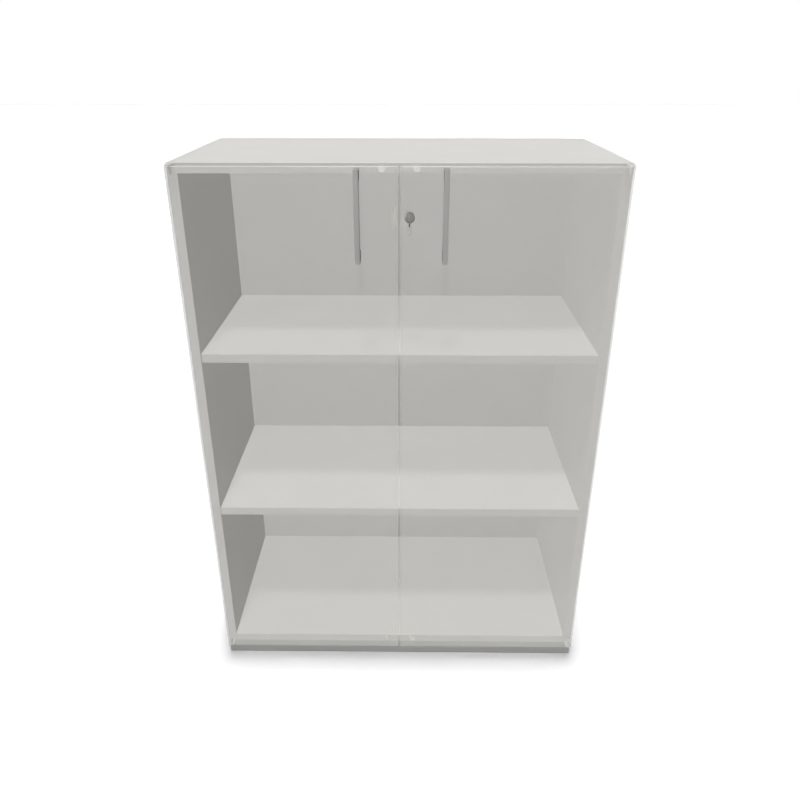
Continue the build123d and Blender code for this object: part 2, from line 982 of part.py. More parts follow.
with BuildPart() as key:
    bow_y = door_front - key_reach + key_bow_radius
    bow_end = bow_y + key_bow_radius
    blade_end = keyway_end - key_end_play
    with BuildSketch(Plane.YZ.offset(lock_x - key_sheet / 2)):
        with Locations((bow_y, lock_z)):
            Circle(key_bow_radius)
        with Locations(((bow_y + bow_end) / 2, lock_z)):
            Rectangle(key_bow_radius, key_neck_height)
        with Locations(((bow_y + blade_end) / 2, lock_z)):
            Rectangle(blade_end - bow_y, key_blade_height)
        with Locations((bow_y - key_hole_offset, lock_z)):
            Circle(key_hole_radius, mode=Mode.SUBTRACT)
        for index, depth in enumerate(key_cut_depths):
            cut_y = blade_end - (index + 1) * key_cut_pitch
            with Locations((cut_y, lock_z - key_blade_height / 2)):
                RegularPolygon(depth, 4, mode=Mode.SUBTRACT)
    extrude(amount=key_sheet)
    bow_rims = [
        edge
        for edge in key.edges().filter_by(GeomType.CIRCLE)
        if edge.radius > key_bow_radius - key_bow_round
    ]
    fillet(bow_rims, radius=key_bow_round)


# Strike on the left door

with BuildPart() as strike_plate:
    with BuildSketch(facing(stud_x, door_back, lock_z, TO_BACK)):
        RectangleRounded(strike_height, strike_width, strike_corner)
        Circle(stud_radius + fixed_play, mode=Mode.SUBTRACT)
    extrude(amount=strike_sheet)
    add(placed(screw_hole(strike_screw), strike_screw_planes), mode=Mode.SUBTRACT)

with BuildPart() as strike_stud:
    stem_end = cam_back + stud_air
    add(
        turned(
            (
                (0, door_back),
                (stud_radius, door_back),
                (stud_radius, stem_end),
                (stud_head_radius, stem_end),
                (stud_head_radius, stem_end + stud_head),
                (0, stem_end + stud_head),
            ),
            Axis((stud_x, 0, lock_z), TO_BACK),
        )
    )

with BuildPart() as strike_screws:
    add(placed(screw(strike_screw), strike_screw_planes))


# Labels and files

pieces = {
    "left_side_panel": left_side_panel,
    "right_side_panel": right_side_panel,
    "top_board": top_board,
    "bottom_board": bottom_board,
    "back_panel": back_panel,
    "upper_shelf": upper_shelf,
    "lower_shelf": lower_shelf,
    "side_panel_edging": side_panel_edging,
    "top_board_edging": top_board_edging,
    "bottom_board_edging": bottom_board_edging,
    "shelf_edging": shelf_edging,
    "carcass_dowels": carcass_dowels,
    "shelf_pins": shelf_pins,
    "plinth_front_rail": plinth_front_rail,
    "plinth_back_rail": plinth_back_rail,
    "plinth_side_rails": plinth_side_rails,
    "plinth_corner_blocks": plinth_corner_blocks,
    "plinth_screws": plinth_screws,
    "top_pivot_brackets": top_pivot_brackets,
    "bottom_pivot_brackets": bottom_pivot_brackets,
    "bracket_screws": bracket_screws,
    "pivot_pins": pivot_pins,
    "catch_sleeves": catch_sleeves,
    "catch_magnets": catch_magnets,
    "left_door": left_door,
    "left_door_bushes": left_door_bushes,
    "left_catch_plates": left_catch_plates,
    "left_handle": left_handle,
    "left_handle_screws": left_handle_screws,
    "strike_plate": strike_plate,
    "strike_stud": strike_stud,
    "strike_screws": strike_screws,
    "right_door": right_door,
    "right_door_bushes": right_door_bushes,
    "right_catch_plates": right_catch_plates,
    "right_handle": right_handle,
    "right_handle_screws": right_handle_screws,
    "lock_housing": lock_housing,
    "lock_ring_nut": lock_ring_nut,
    "lock_plug": lock_plug,
    "lock_cam": lock_cam,
    "cam_screw": cam_screw,
    "key": key,
}
for name, piece in pieces.items():
    piece.part.label = name
    export_step(piece.part, f"parts/{name}.step")
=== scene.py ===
from math import atan2, cos, pi, radians, sin, tau

import bpy
from bpy.props import FloatProperty, FloatVectorProperty, IntProperty, PointerProperty
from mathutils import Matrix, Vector


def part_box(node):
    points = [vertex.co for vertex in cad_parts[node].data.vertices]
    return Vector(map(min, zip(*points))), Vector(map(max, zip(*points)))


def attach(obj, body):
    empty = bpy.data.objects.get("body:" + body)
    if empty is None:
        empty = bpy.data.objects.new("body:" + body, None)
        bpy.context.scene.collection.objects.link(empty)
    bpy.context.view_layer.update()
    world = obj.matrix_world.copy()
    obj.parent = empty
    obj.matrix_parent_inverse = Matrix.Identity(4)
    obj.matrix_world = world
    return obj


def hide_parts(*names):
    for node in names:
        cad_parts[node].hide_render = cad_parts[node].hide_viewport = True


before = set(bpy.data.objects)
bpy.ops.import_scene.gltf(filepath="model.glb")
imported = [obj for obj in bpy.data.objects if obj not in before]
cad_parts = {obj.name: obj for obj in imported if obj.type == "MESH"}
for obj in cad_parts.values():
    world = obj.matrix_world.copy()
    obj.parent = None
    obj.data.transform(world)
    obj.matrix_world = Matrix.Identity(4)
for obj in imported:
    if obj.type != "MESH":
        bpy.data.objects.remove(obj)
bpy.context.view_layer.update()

bl_info = {
    "name": "Two-door cupboard",
    "version": (1, 0, 0),
    "blender": (4, 5, 0),
    "location": "3D View > Sidebar > Cupboard",
    "description": "Finishes an office cupboard with see-through doors, and sets it in a studio",
    "category": "Object",
}

# Metres. X runs across the front, Y from the front to the back and Z up, as in the CAD frame.
MILLIMETRE = 0.001
TO_FRONT = Vector((0, -1, 0))
TO_BACK = Vector((0, 1, 0))
DOWN = Vector((0, 0, -1))

# A noise texture keeps most of its values between these two.
NOISE_LOW = 0.3
NOISE_HIGH = 0.7
# Stretch of the marks in a metal that was brushed or drawn no particular way.
NO_LAY = (1, 1, 1)
# A door's edge keeps its own look to the first depth, and fades into the sheet by the second.
EDGE_DEPTH = 0.2 * MILLIMETRE
FADE_DEPTH = 0.8 * MILLIMETRE

# Screws of each CAD node: the body they ride on, their slot, the way that their heads face, and the
# radius of their shank and head in millimetres.
SCREWS = {
    "bracket_screws": ("carcass", "light_grey_steel", TO_FRONT, 1.6, 3.1),
    "plinth_screws": ("carcass", "zinc_steel", DOWN, 2.0, 4.0),
    "left_handle_screws": ("left_leaf", "zinc_steel", TO_BACK, 2.0, 3.8),
    "right_handle_screws": ("right_leaf", "zinc_steel", TO_BACK, 2.0, 3.8),
    "strike_screws": ("left_leaf", "zinc_steel", TO_BACK, 1.2, 2.4),
}
# Sides of a screw's round blank, and steps in one turn of its thread.
BLANK_SIDES = 24
THREAD_STEPS = 16
# Length over which the shank narrows to the core of the thread, and radius of the point.
RUN_OUT = 0.3 * MILLIMETRE
POINT_RADIUS = 0.1 * MILLIMETRE
# Reach of the recess's arms at its floor, in head radii. They widen evenly, to a whole head radius
# as far above the head's face as the floor is below it.
RECESS_FLOOR = 0.45
# Edges of a screw that turn by more than this are drawn sharp.
SHARP_EDGE = radians(30)

# Lean of the key light to the left and to the front, for each metre up.
KEY_LEAN_LEFT = 0.055
KEY_LEAN_FRONT = 0.437
# Angle that a fill, and the plumb light, take up in the sky, which softens them.
FILL_SPREAD = radians(20)
PLUMB_SPREAD = radians(3)
# Openness of the floor, from ambient occlusion, where its painted shade is deepest and where it
# ends, and the share of the floor's own glow that the deepest painted shade keeps.
SHADE_SAMPLES = 16
DEEPEST_PAINTED_SHADE = 0.64
END_OF_PAINTED_SHADE = 0.94
GLOW_IN_PAINTED_SHADE = 0.54


# Small helpers

def linear(colour):
    """Linear RGBA of an sRGB hex colour such as #dcdad6."""
    channels = [int(colour[i:i + 2], 16) / 255 for i in (1, 3, 5)]
    return (*(c / 12.92 if c <= 0.04045 else ((c + 0.055) / 1.055) ** 2.4 for c in channels), 1)


def per_metre(millimetres):
    """Texture scale that repeats a pattern about once in this many millimetres."""
    return 1 / (millimetres * MILLIMETRE)


def feed(tree, node, name, value):
    """Gives an input its value, or links the output socket that feeds it."""
    if isinstance(value, bpy.types.NodeSocket):
        tree.links.new(value, node.inputs[name])
    else:
        node.inputs[name].default_value = value


def add_node(tree, kind, inputs=None, **settings):
    """Adds a node with its settings. Each input is a value or the output socket that feeds it."""
    node = tree.nodes.new(kind)
    for name, value in settings.items():
        setattr(node, name, value)
    for name, value in (inputs or {}).items():
        feed(tree, node, name, value)
    return node


def new_material(name, preview):
    """An empty node material and its tree. The preview is the colour that the viewport shows."""
    material = bpy.data.materials.new(name)
    material.use_nodes = True
    material.node_tree.nodes.clear()
    material.diffuse_color = preview
    return material, material.node_tree


def finish_nodes(material, *names):
    """Gives the CAD nodes this material."""
    for name in names:
        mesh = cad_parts[name].data
        mesh.materials.clear()
        mesh.materials.append(material)


def direction(azimuth, elevation):
    """Unit vector towards an azimuth, counted from the front to the left, and an elevation."""
    return Vector((-sin(azimuth) * cos(elevation), -cos(azimuth) * cos(elevation), sin(elevation)))


# Materials

def melamine(name, colour, roughness):
    """Melamine-faced chipboard: a hard printed resin skin pressed with a fine pearl texture. It is
    even and matt, with soft broad highlights that the pearl breaks up. The pearl's real grain is
    about 0.5 mm; it is drawn at 2 mm so that it shows."""
    material, tree = new_material(name, colour)
    place = add_node(tree, "ShaderNodeTexCoord").outputs["Object"]
    cloud = add_node(
        tree, "ShaderNodeTexNoise",
        {"Vector": place, "Scale": per_metre(90), "Detail": 3.0, "Roughness": 0.5},
    )
    tint = add_node(
        tree, "ShaderNodeMapRange",
        {
            "Value": cloud.outputs["Fac"], "From Min": NOISE_LOW, "From Max": NOISE_HIGH,
            "To Min": 0.985, "To Max": 1.015,
        },
    )
    shade = add_node(
        tree, "ShaderNodeMix",
        {"Factor": 1.0, "A": colour, "B": tint.outputs["Result"]},
        data_type="RGBA", blend_type="MULTIPLY",
    )
    pearl = add_node(
        tree, "ShaderNodeTexNoise",
        {"Vector": place, "Scale": per_metre(2), "Detail": 2.0, "Roughness": 0.6},
    )
    gloss = add_node(
        tree, "ShaderNodeMapRange",
        {
            "Value": pearl.outputs["Fac"], "From Min": NOISE_LOW, "From Max": NOISE_HIGH,
            "To Min": roughness - 0.04, "To Max": roughness + 0.04,
        },
    )
    bump = add_node(
        tree, "ShaderNodeBump",
        {"Height": pearl.outputs["Fac"], "Strength": 0.12, "Distance": 0.1 * MILLIMETRE},
    )
    skin = add_node(
        tree, "ShaderNodeBsdfPrincipled",
        {
            "Base Color": shade.outputs["Result"], "Roughness": gloss.outputs["Result"],
            "IOR": 1.5, "Normal": bump.outputs["Normal"],
        },
    )
    add_node(tree, "ShaderNodeOutputMaterial", {"Surface": skin.outputs["BSDF"]})
    return material


def acrylic(name, settings, bottom, top):
    """Milky acrylic sheet, extruded and polished. Each face lays a pale veil over what is behind
    it, and the surface keeps a soft gloss. Rays from lamps pass, because a real sheet spreads the
    light that it holds back over what is behind it. The edge at the top is drawn denser, so that
    more of the sheet's lit colour shows there: a painted highlight for the light from above. The
    edge at the bottom is clearer, and dims rays that run down in the sheet."""
    material, tree = new_material(name, settings.sheet)
    place = add_node(tree, "ShaderNodeTexCoord").outputs["Object"]
    height = add_node(tree, "ShaderNodeSeparateXYZ", {"Vector": place}).outputs["Z"]
    stopped = add_node(
        tree, "ShaderNodeMapRange",
        {
            "Value": height,
            "From Min": bottom + EDGE_DEPTH, "From Max": bottom + FADE_DEPTH,
            "To Min": 1.0, "To Max": 0.0,
        },
    )
    low_cover = add_node(
        tree, "ShaderNodeMapRange",
        {
            "Value": stopped.outputs["Result"],
            "To Min": settings.cover, "To Max": settings.bottom_cover,
        },
    )
    # Painted highlight: the top edge hides more of what is behind it, so it shows paler.
    cover = add_node(
        tree, "ShaderNodeMapRange",
        {
            "Value": height,
            "From Min": top - FADE_DEPTH, "From Max": top - EDGE_DEPTH,
            "To Min": low_cover.outputs["Result"], "To Max": settings.top_edge_highlight_cover,
        },
    )
    swell = add_node(
        tree, "ShaderNodeTexNoise",
        {"Vector": place, "Scale": per_metre(60), "Detail": 1.0, "Roughness": 0.4},
    )
    # Extruded sheet is never quite flat: its slow swell shows only in reflections.
    bump = add_node(
        tree, "ShaderNodeBump",
        {"Height": swell.outputs["Fac"], "Strength": 0.1, "Distance": 0.2 * MILLIMETRE},
    )
    sheet = add_node(
        tree, "ShaderNodeBsdfPrincipled",
        {
            "Base Color": settings.sheet, "Roughness": settings.roughness, "IOR": 1.49,
            "Alpha": cover.outputs["Result"], "Normal": bump.outputs["Normal"],
        },
    )
    dim = add_node(
        tree, "ShaderNodeMix",
        {"Factor": stopped.outputs["Result"], "A": (1, 1, 1, 1), "B": settings.edge_shade},
        data_type="RGBA",
    )
    clear = add_node(tree, "ShaderNodeBsdfTransparent", {"Color": dim.outputs["Result"]})
    rays = add_node(tree, "ShaderNodeLightPath")
    mix = add_node(
        tree, "ShaderNodeMixShader",
        {
            "Fac": rays.outputs["Is Shadow Ray"],
            1: sheet.outputs["BSDF"], 2: clear.outputs["BSDF"],
        },
    )
    add_node(tree, "ShaderNodeOutputMaterial", {"Surface": mix.outputs["Shader"]})
    return material


def metal(name, colour, roughness, grain, stretch, strength):
    """Bare or plated metal. Its making leaves fine marks, grain millimetres across and drawn out
    along the axes where stretch is small, which vary its colour and its gloss a little."""
    material, tree = new_material(name, colour)
    place = add_node(tree, "ShaderNodeTexCoord").outputs["Object"]
    drawn = add_node(tree, "ShaderNodeMapping", {"Vector": place, "Scale": stretch})
    marks = add_node(
        tree, "ShaderNodeTexNoise",
        {
            "Vector": drawn.outputs["Vector"], "Scale": per_metre(grain),
            "Detail": 4.0, "Roughness": 0.6,
        },
    )
    gloss = add_node(
        tree, "ShaderNodeMapRange",
        {
            "Value": marks.outputs["Fac"], "From Min": NOISE_LOW, "From Max": NOISE_HIGH,
            "To Min": roughness * 0.85, "To Max": roughness * 1.15,
        },
    )
    tint = add_node(
        tree, "ShaderNodeMapRange",
        {
            "Value": marks.outputs["Fac"], "From Min": NOISE_LOW, "From Max": NOISE_HIGH,
            "To Min": 0.96, "To Max": 1.04,
        },
    )
    shade = add_node(
        tree, "ShaderNodeMix",
        {"Factor": 1.0, "A": colour, "B": tint.outputs["Result"]},
        data_type="RGBA", blend_type="MULTIPLY",
    )
    bump = add_node(
        tree, "ShaderNodeBump",
        {"Height": marks.outputs["Fac"], "Strength": strength, "Distance": 0.05 * MILLIMETRE},
    )
    skin = add_node(
        tree, "ShaderNodeBsdfPrincipled",
        {
            "Base Color": shade.outputs["Result"], "Metallic": 1.0,
            "Roughness": gloss.outputs["Result"], "Normal": bump.outputs["Normal"],
        },
    )
    add_node(tree, "ShaderNodeOutputMaterial", {"Surface": skin.outputs["BSDF"]})
    return material


def plain(name, colour, roughness, ior, grain, strength):
    """Moulded plastic, sprayed powder coat or pressed ferrite: one even colour, and a fine grain
    from the mould, the spray or the press, grain millimetres across."""
    material, tree = new_material(name, colour)
    place = add_node(tree, "ShaderNodeTexCoord").outputs["Object"]
    skin_grain = add_node(
        tree, "ShaderNodeTexNoise",
        {"Vector": place, "Scale": per_metre(grain), "Detail": 2.0, "Roughness": 0.55},
    )
    gloss = add_node(
        tree, "ShaderNodeMapRange",
        {
            "Value": skin_grain.outputs["Fac"], "From Min": NOISE_LOW, "From Max": NOISE_HIGH,
            "To Min": roughness - 0.05, "To Max": roughness + 0.05,
        },
    )
    bump = add_node(
        tree, "ShaderNodeBump",
        {"Height": skin_grain.outputs["Fac"], "Strength": strength, "Distance": 0.1 * MILLIMETRE},
    )
    skin = add_node(
        tree, "ShaderNodeBsdfPrincipled",
        {
            "Base Color": colour, "Roughness": gloss.outputs["Result"], "IOR": ior,
            "Normal": bump.outputs["Normal"],
        },
    )
    add_node(tree, "ShaderNodeOutputMaterial", {"Surface": skin.outputs["BSDF"]})
    return material


def zinc_plate(name, colour, roughness=0.35):
    """Steel, zinc-plated in a barrel: a light grey, a little cloudy, with no lay."""
    return metal(name, colour, roughness, grain=0.8, stretch=NO_LAY, strength=0.15)


def powder_coat(name, colour):
    """Steel under sprayed and baked powder: an even half-matt skin with a fine orange peel."""
    return plain(name, colour, roughness=0.5, ior=1.5, grain=1.0, strength=0.12)


def beech(name, light, dark):
    """Beech, planed or turned: pale straw wood with darker bands, drawn out along X."""
    material, tree = new_material(name, light)
    place = add_node(tree, "ShaderNodeTexCoord").outputs["Object"]
    drawn = add_node(tree, "ShaderNodeMapping", {"Vector": place, "Scale": (0.1, 1.0, 1.0)})
    bands = add_node(
        tree, "ShaderNodeTexNoise",
        {"Vector": drawn.outputs["Vector"], "Scale": per_metre(4), "Detail": 5.0, "Roughness": 0.6},
    )
    shade = add_node(
        tree, "ShaderNodeMix",
        {"Factor": bands.outputs["Fac"], "A": light, "B": dark},
        data_type="RGBA",
    )
    bump = add_node(
        tree, "ShaderNodeBump",
        {"Height": bands.outputs["Fac"], "Strength": 0.2, "Distance": 0.1 * MILLIMETRE},
    )
    skin = add_node(
        tree, "ShaderNodeBsdfPrincipled",
        {
            "Base Color": shade.outputs["Result"], "Roughness": 0.6, "IOR": 1.5,
            "Normal": bump.outputs["Normal"],
        },
    )
    add_node(tree, "ShaderNodeOutputMaterial", {"Surface": skin.outputs["BSDF"]})
    return material


# Screws

def screw_tree():
    """Geometry nodes that set a countersunk screw at each point, its head facing one way: a turned
    blank with a cross recess and a thread, rolled about its axis by chance as a hand leaves it."""
    tree = bpy.data.node_groups.new("countersunk_screws", "GeometryNodeTree")
    tree.interface.new_socket("Places", in_out="INPUT", socket_type="NodeSocketGeometry")
    for name in (
        "Shank radius", "Head radius", "Length", "Core radius", "Pitch",
        "Recess width", "Recess depth",
    ):
        tree.interface.new_socket(name, in_out="INPUT", socket_type="NodeSocketFloat")
    tree.interface.new_socket("Facing", in_out="INPUT", socket_type="NodeSocketVector")
    tree.interface.new_socket("Seed", in_out="INPUT", socket_type="NodeSocketInt")
    tree.interface.new_socket("Finish", in_out="INPUT", socket_type="NodeSocketMaterial")
    tree.interface.new_socket("Screws", in_out="OUTPUT", socket_type="NodeSocketGeometry")
    given = add_node(tree, "NodeGroupInput").outputs
    shank, head, core = given["Shank radius"], given["Head radius"], given["Core radius"]
    length, depth = given["Length"], given["Recess depth"]

    # The blank runs along -Z: head, neck, core of the thread and point.
    cone = add_node(tree, "ShaderNodeMath", {0: shank, 1: head}, operation="SUBTRACT")
    cone = cone.outputs["Value"]
    neck = add_node(tree, "ShaderNodeMath", {0: cone, 1: shank}, operation="SUBTRACT")
    neck = neck.outputs["Value"]
    run_out = add_node(tree, "ShaderNodeMath", {0: neck, 1: RUN_OUT}, operation="SUBTRACT")
    point = add_node(tree, "ShaderNodeMath", {0: shank, 1: length}, operation="SUBTRACT")
    point = point.outputs["Value"]
    tip = add_node(tree, "ShaderNodeMath", {0: length, 1: -1.0}, operation="MULTIPLY")
    outline = (
        (0.0, head), (cone, shank), (neck, shank), (run_out.outputs["Value"], core),
        (point, core), (tip.outputs["Value"], POINT_RADIUS),
    )
    # The height and the radius of each point of the outline, picked by the point's number.
    number = add_node(tree, "GeometryNodeInputIndex")
    picked = []
    for values in zip(*outline):
        switch = add_node(
            tree, "GeometryNodeIndexSwitch", {"Index": number.outputs["Index"]}, data_type="FLOAT"
        )
        while len(switch.index_switch_items) < len(values):
            switch.index_switch_items.new()
        for item, value in enumerate(values, start=1):
            feed(tree, switch, item, value)
        picked.append(switch.outputs["Output"])
    heights, radii = picked
    spine = add_node(tree, "GeometryNodeMeshLine", {"Count": len(outline)})
    spine = add_node(tree, "GeometryNodeMeshToCurve", {"Mesh": spine.outputs["Mesh"]})
    place = add_node(tree, "ShaderNodeCombineXYZ", {"Z": heights})
    spine = add_node(
        tree, "GeometryNodeSetPosition",
        {"Geometry": spine.outputs["Curve"], "Position": place.outputs["Vector"]},
    )
    ring = add_node(
        tree, "GeometryNodeCurvePrimitiveCircle", {"Resolution": BLANK_SIDES, "Radius": 1.0}
    )
    blank = add_node(
        tree, "GeometryNodeCurveToMesh",
        {
            "Curve": spine.outputs["Geometry"], "Profile Curve": ring.outputs["Curve"],
            "Scale": radii, "Fill Caps": True,
        },
    )

    # A four-sided taper, drawn flat, is one arm of the cross.
    reach = add_node(tree, "ShaderNodeMath", {0: head, 1: RECESS_FLOOR}, operation="MULTIPLY")
    tall = add_node(tree, "ShaderNodeMath", {0: depth, 1: 2.0}, operation="MULTIPLY")
    arm = add_node(
        tree, "GeometryNodeMeshCone",
        {
            "Vertices": 4, "Radius Bottom": reach.outputs["Value"], "Radius Top": head,
            "Depth": tall.outputs["Value"],
        },
    )
    arm = add_node(
        tree, "GeometryNodeTransform", {"Geometry": arm.outputs["Mesh"], "Rotation": (0, 0, pi / 4)}
    )
    flat = add_node(tree, "ShaderNodeCombineXYZ", {"X": 1.0, "Y": given["Recess width"], "Z": 1.0})
    sunk = add_node(tree, "ShaderNodeMath", {0: depth, 1: -1.0}, operation="MULTIPLY")
    sunk = add_node(tree, "ShaderNodeCombineXYZ", {"Z": sunk.outputs["Value"]})
    arm = add_node(
        tree, "GeometryNodeTransform",
        {
            "Geometry": arm.outputs["Geometry"], "Scale": flat.outputs["Vector"],
            "Translation": sunk.outputs["Vector"],
        },
    )
    other = add_node(
        tree, "GeometryNodeTransform",
        {"Geometry": arm.outputs["Geometry"], "Rotation": (0, 0, pi / 2)},
    )
    blank = add_node(
        tree, "GeometryNodeMeshBoolean",
        {"Mesh 1": blank.outputs["Mesh"], "Mesh 2": arm.outputs["Geometry"]},
        operation="DIFFERENCE", solver="EXACT",
    )
    tree.links.new(other.outputs["Geometry"], blank.inputs["Mesh 2"])

    # The thread is a three-sided ridge that winds about the core.
    threaded = add_node(tree, "ShaderNodeMath", {0: neck, 1: point}, operation="SUBTRACT")
    threaded = threaded.outputs["Value"]
    turns = add_node(
        tree, "ShaderNodeMath", {0: threaded, 1: given["Pitch"]}, operation="DIVIDE"
    )
    helix = add_node(
        tree, "GeometryNodeCurveSpiral",
        {
            "Resolution": THREAD_STEPS, "Rotations": turns.outputs["Value"],
            "Start Radius": core, "End Radius": core, "Height": threaded,
        },
    )
    helix = add_node(
        tree, "GeometryNodeSetCurveNormal", {"Curve": helix.outputs["Curve"]}, mode="Z_UP"
    )
    crest = add_node(tree, "ShaderNodeMath", {0: shank, 1: core}, operation="SUBTRACT")
    ridge = add_node(
        tree, "GeometryNodeCurvePrimitiveCircle",
        {"Resolution": 3, "Radius": crest.outputs["Value"]},
    )
    ridge = add_node(
        tree, "GeometryNodeTransform", {"Geometry": ridge.outputs["Curve"], "Rotation": (0, 0, pi)}
    )
    thread = add_node(
        tree, "GeometryNodeCurveToMesh",
        {
            "Curve": helix.outputs["Curve"], "Profile Curve": ridge.outputs["Geometry"],
            "Scale": 1.0, "Fill Caps": True,
        },
    )
    start = add_node(tree, "ShaderNodeCombineXYZ", {"Z": point})
    thread = add_node(
        tree, "GeometryNodeTransform",
        {"Geometry": thread.outputs["Mesh"], "Translation": start.outputs["Vector"]},
    )
    screw = add_node(tree, "GeometryNodeJoinGeometry", {"Geometry": blank.outputs["Mesh"]})
    tree.links.new(thread.outputs["Geometry"], screw.inputs["Geometry"])

    # Each screw is turned to face the right way and rolled about its axis.
    facing = add_node(
        tree, "FunctionNodeAlignRotationToVector", {"Vector": given["Facing"]}, axis="Z"
    )
    chance = add_node(
        tree, "FunctionNodeRandomValue", {"Seed": given["Seed"]}, data_type="FLOAT"
    )
    roll = add_node(
        tree, "ShaderNodeMath", {0: chance.outputs[1], 1: tau}, operation="MULTIPLY"
    )
    roll = add_node(tree, "ShaderNodeCombineXYZ", {"Z": roll.outputs["Value"]})
    roll = add_node(tree, "FunctionNodeEulerToRotation", {"Euler": roll.outputs["Vector"]})
    turn = add_node(
        tree, "FunctionNodeRotateRotation",
        {"Rotation": facing.outputs["Rotation"], "Rotate By": roll.outputs["Rotation"]},
        rotation_space="LOCAL",
    )
    screws = add_node(
        tree, "GeometryNodeInstanceOnPoints",
        {
            "Points": given["Places"], "Instance": screw.outputs["Geometry"],
            "Rotation": turn.outputs["Rotation"],
        },
    )
    real = add_node(tree, "GeometryNodeRealizeInstances", {"Geometry": screws.outputs["Instances"]})
    finished = add_node(
        tree, "GeometryNodeSetMaterial",
        {"Geometry": real.outputs["Geometry"], "Material": given["Finish"]},
    )
    add_node(tree, "NodeGroupOutput", {"Screws": finished.outputs["Geometry"]})
    return tree


def head_places(node, facing, head, spacing):
    """Middles of the screw heads of a CAD node, found from its box, and the screws' length. A
    bracket has a second screw, at the spacing from its first."""
    low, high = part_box(node)
    axis = max(range(3), key=lambda number: abs(facing[number]))
    across, up = (number for number in range(3) if number != axis)

    def spread(number):
        """The middle of a span as wide as a head, or a head's radius in from both its ends."""
        if high[number] - low[number] < 3 * head:
            return [(low[number] + high[number]) / 2]
        return [low[number] + head, high[number] - head]

    rows = spread(up)
    if node == "bracket_screws":
        rows += [rows[0] + spacing, rows[1] - spacing]
    places = []
    for side in spread(across):
        for row in rows:
            place = [0, 0, 0]
            place[axis] = high[axis] if facing[axis] > 0 else low[axis]
            place[across] = side
            place[up] = row
            places.append(place)
    return places, high[axis] - low[axis]


# Settings that a user would change

def colour_setting(name, description, default):
    """A colour, kept as linear light and first set from an sRGB hex value."""
    return FloatVectorProperty(
        name=name, description=description, subtype="COLOR", size=4, min=0, max=1,
        default=linear(default),
    )


def roughness_setting(name, description, default):
    """A share from polished to matt."""
    return FloatProperty(
        name=name, description=description, default=default, min=0, max=1, subtype="FACTOR"
    )


def strength_setting(name, description, default):
    """The strength of a sun lamp, in watts per square metre."""
    return FloatProperty(name=name, description=description, default=default, min=0)


class CarcassSettings(bpy.types.PropertyGroup):
    board: colour_setting("Board", "Colour of the sides, the back and the bottom board", "#d8d6d2")
    # Top and Shelf are the board's melamine drawn darker and paler: painted shade on the top board,
    # painted light on the shelves.
    top: colour_setting("Top", "Colour of the top board", "#d3d1cd")
    shelf: colour_setting("Shelf", "Colour of the two shelves", "#e3e1dd")
    edging: colour_setting("Edging", "Colour of the plastic edging", "#d8d6d2")
    plinth: colour_setting("Plinth", "Colour of the plinth boards", "#b4b4b2")
    beech_light: colour_setting("Light beech", "Colour of the beech between its bands", "#d3b48b")
    beech_dark: colour_setting("Dark beech", "Colour of the bands in the beech", "#b48f63")
    board_roughness: roughness_setting("Board roughness", "How matt the melamine is", 0.5)


class DoorSettings(bpy.types.PropertyGroup):
    sheet: colour_setting("Sheet", "Colour of the acrylic", "#f4f3ee")
    cover: FloatProperty(
        name="Cover", description="Share of what is behind it that one face of a door hides",
        default=0.24, min=0, max=1, subtype="FACTOR",
    )
    # Painted highlight: a denser top edge shows more of the sheet's lit colour there.
    top_edge_highlight_cover: FloatProperty(
        name="Top cover", description="Share of what is behind it that a door's top edge hides",
        default=0.9, min=0, max=1, subtype="FACTOR",
    )
    bottom_cover: FloatProperty(
        name="Bottom cover",
        description="Share of what is behind it that a door's bottom edge hides",
        default=0.15, min=0, max=1, subtype="FACTOR",
    )
    edge_shade: colour_setting(
        "Edge shade", "Colour that a lamp's rays keep past a door's bottom edge", "#6e6e6e"
    )
    roughness: roughness_setting("Roughness", "How matt the acrylic is", 0.15)


class FittingSettings(bpy.types.PropertyGroup):
    aluminium: colour_setting("Aluminium", "Colour of the handles", "#908f8d")
    nickel: colour_setting("Nickel", "Colour of the lock", "#858482")
    key: colour_setting("Key", "Colour of the key", "#6a6967")
    zinc: colour_setting("Zinc", "Colour of the plated steel", "#c9c7c1")
    bright_zinc: colour_setting("Bright zinc", "Colour of the catch plates and pins", "#e8e6e0")
    powder_coat: colour_setting(
        "Powder coat", "Colour of the pivot brackets and their screws", "#d8d6d2"
    )
    nylon: colour_setting("Nylon", "Colour of the bushes and catch sleeves", "#d0cfcb")
    ferrite: colour_setting("Ferrite", "Colour of the magnets", "#6b6b6c")


class ScrewSettings(bpy.types.PropertyGroup):
    core: FloatProperty(
        name="Core", description="Radius inside the thread, as a share of the shank's radius",
        default=0.7, min=0.4, max=0.95, subtype="FACTOR",
    )
    pitch: FloatProperty(
        name="Pitch", description="Rise of one turn of the thread, in shank radii",
        default=0.9, min=0.5, max=2,
    )
    recess_width: FloatProperty(
        name="Recess width", description="Width of an arm of the cross, as a share of its span",
        default=0.28, min=0.1, max=0.5, subtype="FACTOR",
    )
    recess_depth: FloatProperty(
        name="Recess depth", description="Depth of the cross, as a share of the head's radius",
        default=0.5, min=0.1, max=1, subtype="FACTOR",
    )
    bracket_spacing: FloatProperty(
        name="Bracket spacing", description="Distance between the two screws of a pivot bracket",
        default=36 * MILLIMETRE, min=0, unit="LENGTH",
    )
    seed: IntProperty(
        name="Seed", description="Picks how far each screw was turned when it was driven", default=7
    )


